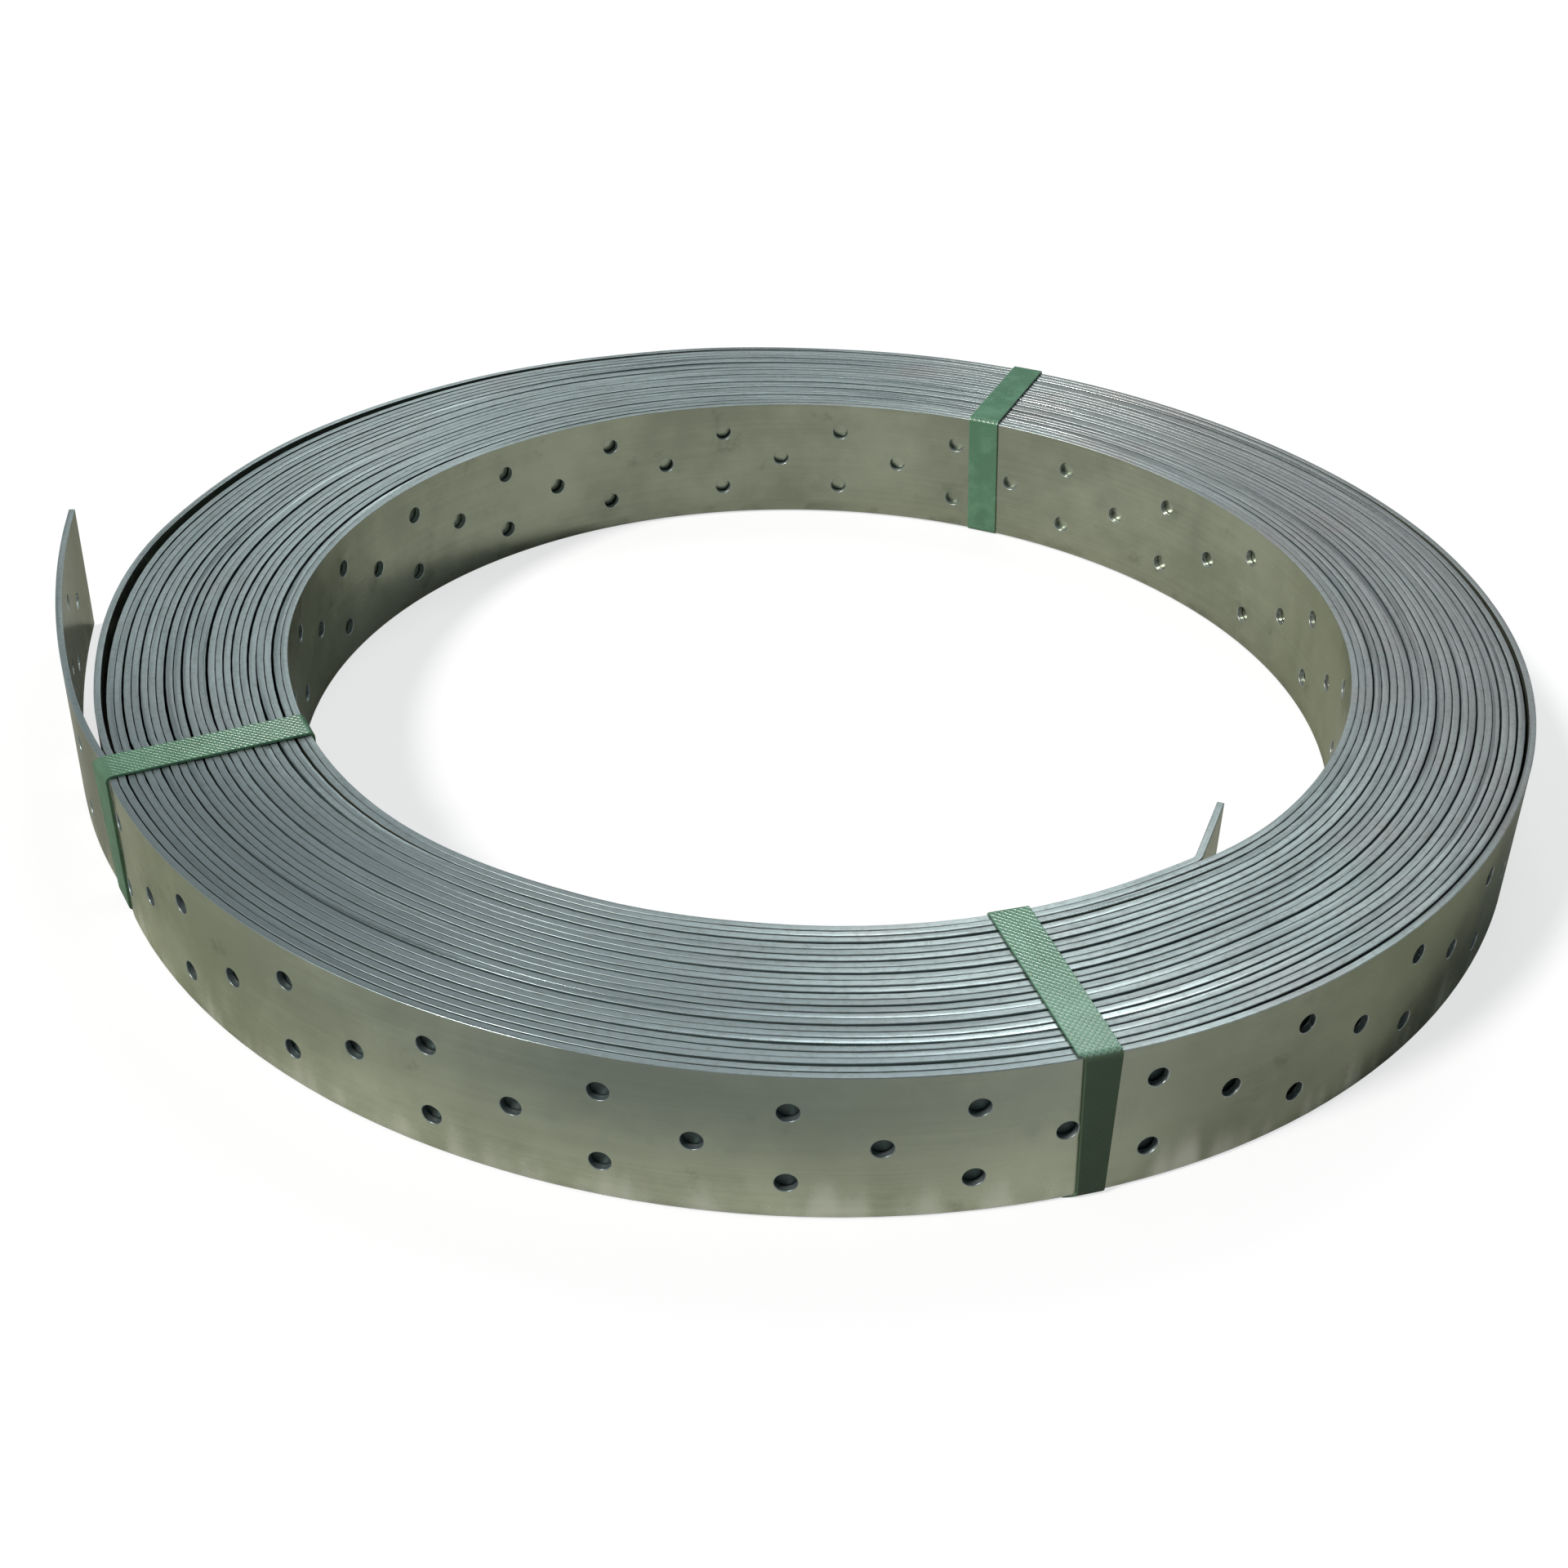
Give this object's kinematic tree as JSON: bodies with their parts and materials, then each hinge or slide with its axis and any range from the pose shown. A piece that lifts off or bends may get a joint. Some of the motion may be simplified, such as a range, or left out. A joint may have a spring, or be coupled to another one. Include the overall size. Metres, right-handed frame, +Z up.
{
  "type": "coil of perforated wind bracing strap",
  "caption": "Coil of perforated galvanised steel bracing strap lying flat, tied with plastic binding bands, with a loose outer end and a bent inner end.",
  "frame": {"origin": "on the coil's axis, at the level of the floor that the bands' undersides touch", "axes": "+Z up along the coil's axis; +Y along the strap's loose outer end, towards its cut edge, at the coil's -X side"},
  "size_m": [0.4024, 0.3988, 0.0416],
  "materials": {
    "galvanised_steel": "satin",
    "green_band": "satin"
  },
  "bodies": {
    "root": {"strap_coil": "galvanised_steel", "binding_band_left": "green_band", "binding_band_front": "green_band", "binding_band_back": "green_band"}
  },
  "joints": []
}
